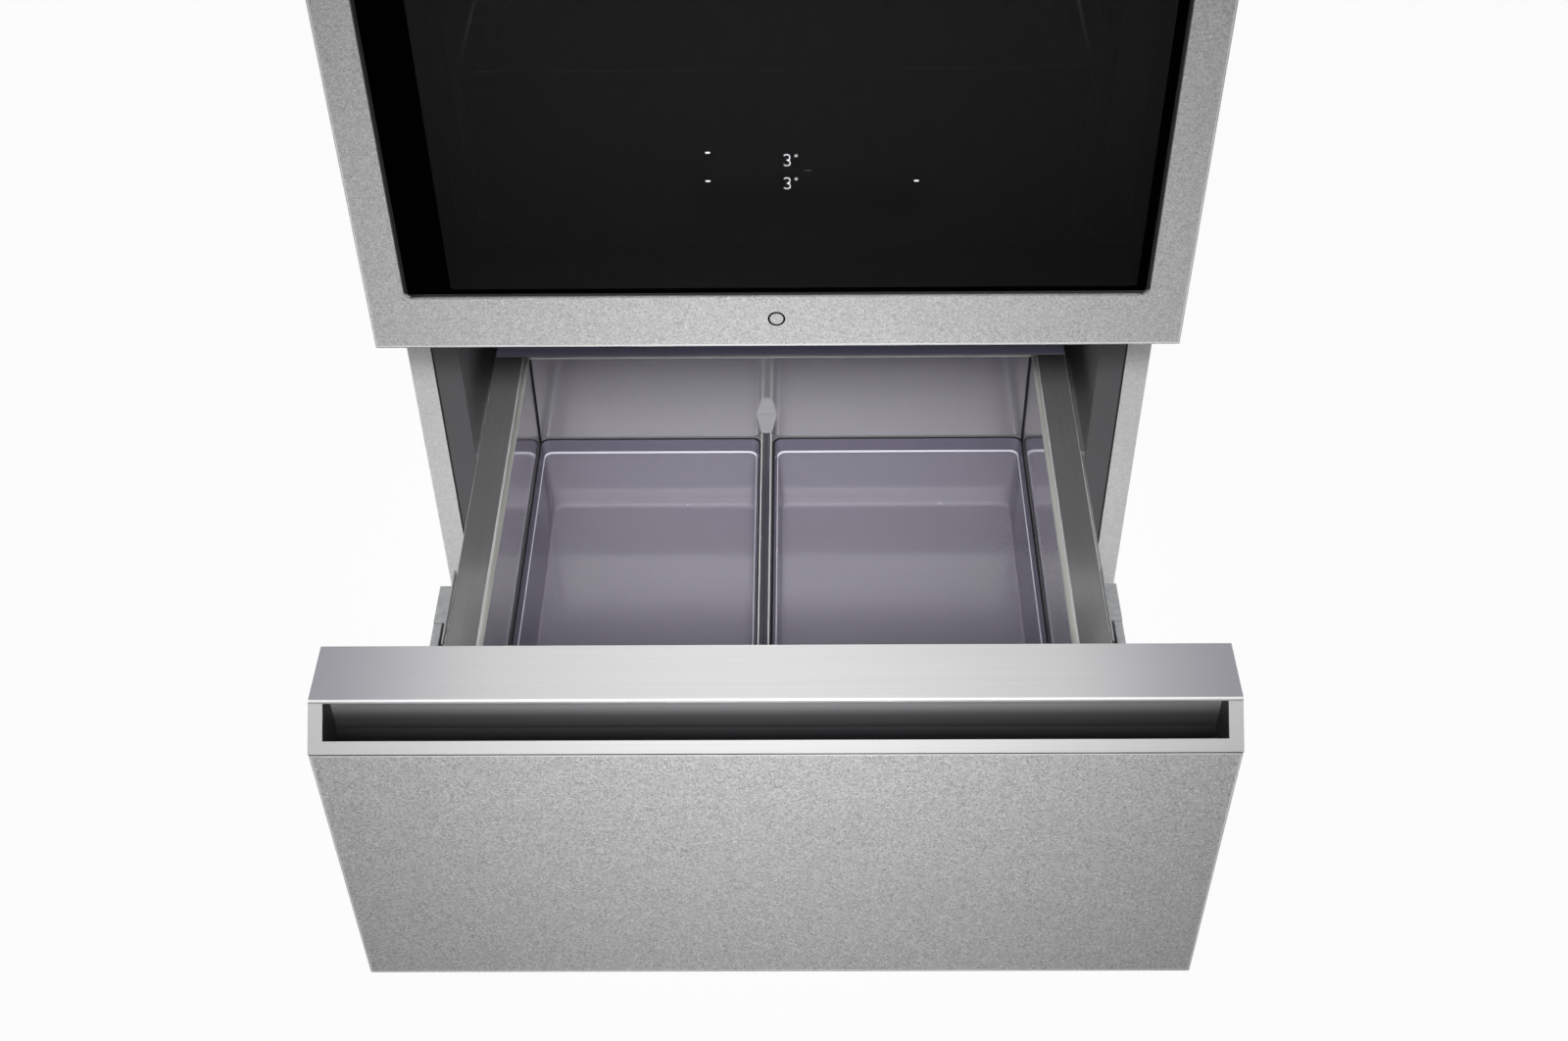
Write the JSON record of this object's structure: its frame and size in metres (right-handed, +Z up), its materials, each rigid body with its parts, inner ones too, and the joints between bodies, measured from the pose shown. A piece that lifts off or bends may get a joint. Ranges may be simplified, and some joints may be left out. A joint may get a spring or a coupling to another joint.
{
  "type": "fridge freezer",
  "caption": "Tall fridge freezer with a hinged tinted glass door above stacked pull-out drawers, each a steel box on telescopic slides behind a recessed-grip front.",
  "frame": {"origin": "on the floor, under the middle of the whole bounding box with the upper drawer pulled out", "axes": "+Z up, -Y towards the front that the door and the drawers face, +X to the hinge side of the door"},
  "size_m": [0.7, 1.15, 1.793],
  "materials": {
    "cabinet_steel": "satin, light grey",
    "zinc_steel": "dull zinc",
    "textured_steel": "fine-grained texture",
    "rail_steel": "fine brushed",
    "grey_steel": "satin, mid grey",
    "box_steel": "bright, nearly mirror-like",
    "black_steel": "gloss black",
    "hinge_steel": "satin",
    "condenser_metal": "painted dark",
    "bare_aluminium": "plain",
    "insulation": "foam with a smooth grey front",
    "foamed_frame": "smooth dark plastic skin over foam",
    "fridge_liner": "smooth, dark grey",
    "drawer_liner": "smooth, dark grey",
    "liner_plastic": "smooth, grey",
    "dark_plastic": "matte black",
    "divider_plastic": "satin grey",
    "lamp_plastic": "milky",
    "clear_plastic": "clear",
    "display_black": "gloss black",
    "gasket_rubber": "matte",
    "tinted_glass": "dark tint, gloss",
    "clear_glass": "clear",
    "shelf_glass": "clear",
    "shelf_trim": "satin grey"
  },
  "bodies": {
    "cabinet": {"cabinet_shell": "cabinet_steel", "back_panel": "zinc_steel", "foam_body": "insulation", "upper_mullion": "insulation", "lower_mullion": "insulation", "fridge_liner": "fridge_liner", "upper_drawer_liner": "drawer_liner", "lower_drawer_liner": "drawer_liner", "base_frame": "zinc_steel", "kick_plate": "dark_plastic", "compressor": "black_steel", "condenser": "condenser_metal", "condenser_fan_shroud": "dark_plastic", "drain_pan": "dark_plastic", "machine_cover": "zinc_steel", "power_inlet": "dark_plastic", "evaporator": "bare_aluminium", "evaporator_cover": "liner_plastic", "duct_cover": "liner_plastic", "glass_shelves": "shelf_glass", "shelf_trims": "shelf_trim", "hinge_brackets": "hinge_steel", "hinge_cover": "dark_plastic", "light_strips": "lamp_plastic", "fixed_rails": "zinc_steel", "control_box": "dark_plastic"},
    "left_foot": {"left_levelling_foot": "dark_plastic"},
    "right_foot": {"right_levelling_foot": "dark_plastic"},
    "rollers": {"rear_rollers": "dark_plastic"},
    "machine_fan": {"condenser_fan": "dark_plastic"},
    "cold_air_fan": {"evaporator_fan": "dark_plastic"},
    "door": {"door_frame": "textured_steel", "door_glass": "tinted_glass", "door_inner_frame": "foamed_frame", "door_inner_glass": "clear_glass", "door_gasket": "gasket_rubber", "lower_door_basket": "clear_plastic", "middle_door_basket": "clear_plastic", "upper_door_basket": "clear_plastic", "display_panel": "display_black", "sensor_ring": "display_black"},
    "lower_drawer": {"lower_front_panel": "textured_steel", "lower_handle_rail": "rail_steel", "lower_front_core": "foamed_frame", "lower_drawer_gasket": "gasket_rubber", "lower_drawer_frame": "grey_steel", "lower_steel_box": "box_steel", "lower_clear_bins": "clear_plastic", "lower_moving_rails": "zinc_steel"},
    "upper_drawer": {"upper_front_panel": "textured_steel", "upper_handle_rail": "rail_steel", "upper_front_core": "foamed_frame", "upper_drawer_gasket": "gasket_rubber", "upper_drawer_frame": "grey_steel", "upper_steel_box": "box_steel", "upper_clear_bins": "clear_plastic", "upper_moving_rails": "zinc_steel", "upper_box_divider": "divider_plastic"},
    "lower_slide_middles": {"lower_middle_rails": "zinc_steel"},
    "upper_slide_middles": {"upper_middle_rails": "zinc_steel"}
  },
  "joints": [
    {"name": "door_hinge", "type": "hinge", "parent": "cabinet", "child": "door", "pos_m": [0.338, -0.131, 0], "axis": [0, 0, 1], "range_deg": [0, 115]},
    {"name": "upper_drawer_slide", "type": "slide", "parent": "cabinet", "child": "upper_drawer", "axis": [0, -1, 0], "range_m": [-0.394, 0.076]},
    {"name": "upper_middle_slide", "type": "slide", "parent": "cabinet", "child": "upper_slide_middles", "axis": [0, -1, 0], "range_m": [-0.197, 0.038]},
    {"name": "lower_drawer_slide", "type": "slide", "parent": "cabinet", "child": "lower_drawer", "axis": [0, -1, 0], "range_m": [0, 0.47]},
    {"name": "lower_middle_slide", "type": "slide", "parent": "cabinet", "child": "lower_slide_middles", "axis": [0, -1, 0], "range_m": [0, 0.235]},
    {"name": "left_foot_screw", "type": "hinge", "parent": "cabinet", "child": "left_foot", "pos_m": [-0.29, -0.051, 0], "axis": [0, 0, 1], "continuous": true},
    {"name": "right_foot_screw", "type": "hinge", "parent": "cabinet", "child": "right_foot", "pos_m": [0.29, -0.051, 0], "axis": [0, 0, 1], "continuous": true},
    {"name": "roller_axle", "type": "hinge", "parent": "cabinet", "child": "rollers", "pos_m": [0, 0.515, 0.013], "axis": [1, 0, 0], "continuous": true},
    {"name": "machine_fan_spin", "type": "hinge", "parent": "cabinet", "child": "machine_fan", "pos_m": [0.0694, 0.50435, 0.14975], "axis": [1, 0, 0], "continuous": true},
    {"name": "cold_air_fan_spin", "type": "hinge", "parent": "cabinet", "child": "cold_air_fan", "pos_m": [0, 0.402, 0.662], "axis": [0, 1, 0], "continuous": true}
  ],
  "couplings": [
    {"joint": "upper_middle_slide", "follows": "upper_drawer_slide", "ratio": 0.5},
    {"joint": "lower_middle_slide", "follows": "lower_drawer_slide", "ratio": 0.5}
  ]
}
